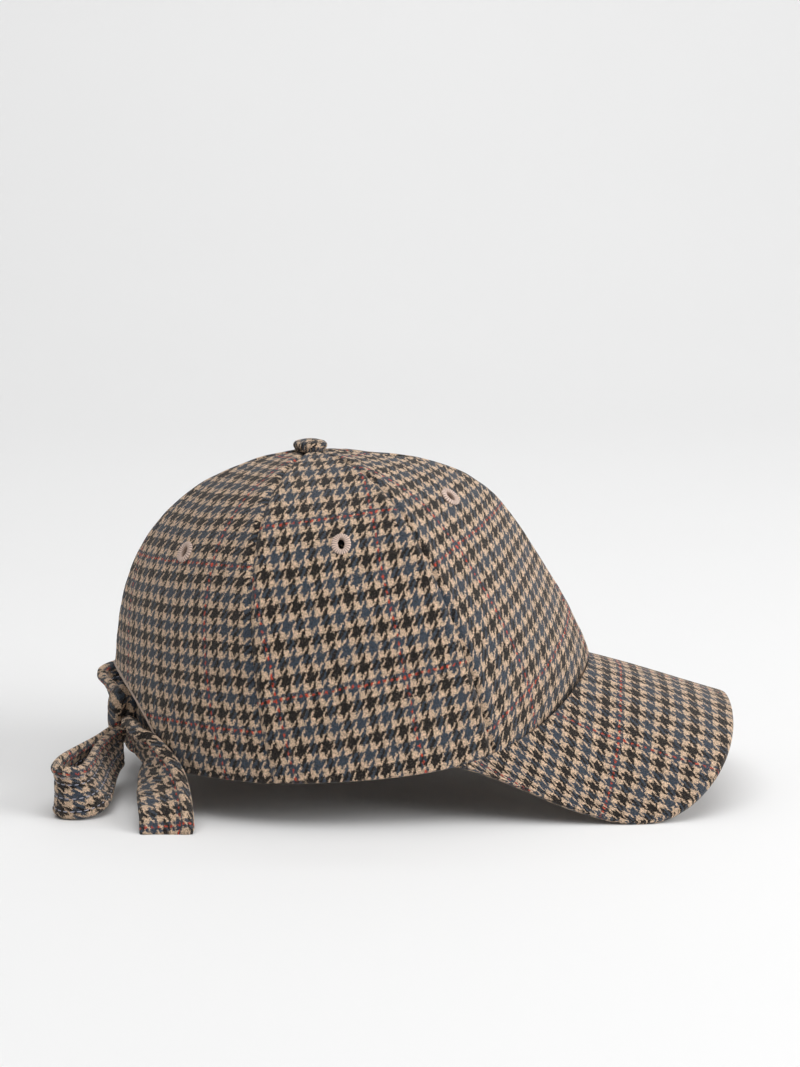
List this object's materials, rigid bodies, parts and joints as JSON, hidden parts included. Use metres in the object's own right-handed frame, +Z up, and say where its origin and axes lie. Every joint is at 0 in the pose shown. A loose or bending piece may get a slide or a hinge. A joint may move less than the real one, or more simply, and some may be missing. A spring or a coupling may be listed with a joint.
{
  "type": "cap",
  "caption": "Checked wool cap of curved panels with a stiff arched peak, a covered top button, stitched eyelets and a cloth strap tied in a bow across the opening at the back.",
  "frame": {"origin": "middle of the bounding box on the surface that the cap rests on", "axes": "+Z up, +X towards the tip of the peak, -Y towards the wearer's right, which is the side in the picture"},
  "size_m": [0.2938, 0.1778, 0.1539],
  "materials": {
    "check_wool": "matt brushed twill",
    "thread": "matt stitching"
  },
  "bodies": {
    "root": {"panel_front_right": "check_wool", "panel_front_left": "check_wool", "panel_side_right": "check_wool", "panel_side_left": "check_wool", "panel_back_right": "check_wool", "panel_back_left": "check_wool", "eyelet_front_right": "thread", "eyelet_front_left": "thread", "eyelet_side_right": "thread", "eyelet_side_left": "thread", "eyelet_back_right": "thread", "eyelet_back_left": "thread", "peak": "check_wool", "top_button": "check_wool", "bow_knot": "check_wool", "bow_loop_right": "check_wool", "bow_loop_left": "check_wool", "bow_tail_right": "check_wool", "bow_tail_left": "check_wool", "tie_right": "check_wool", "tie_left": "check_wool"}
  },
  "joints": []
}
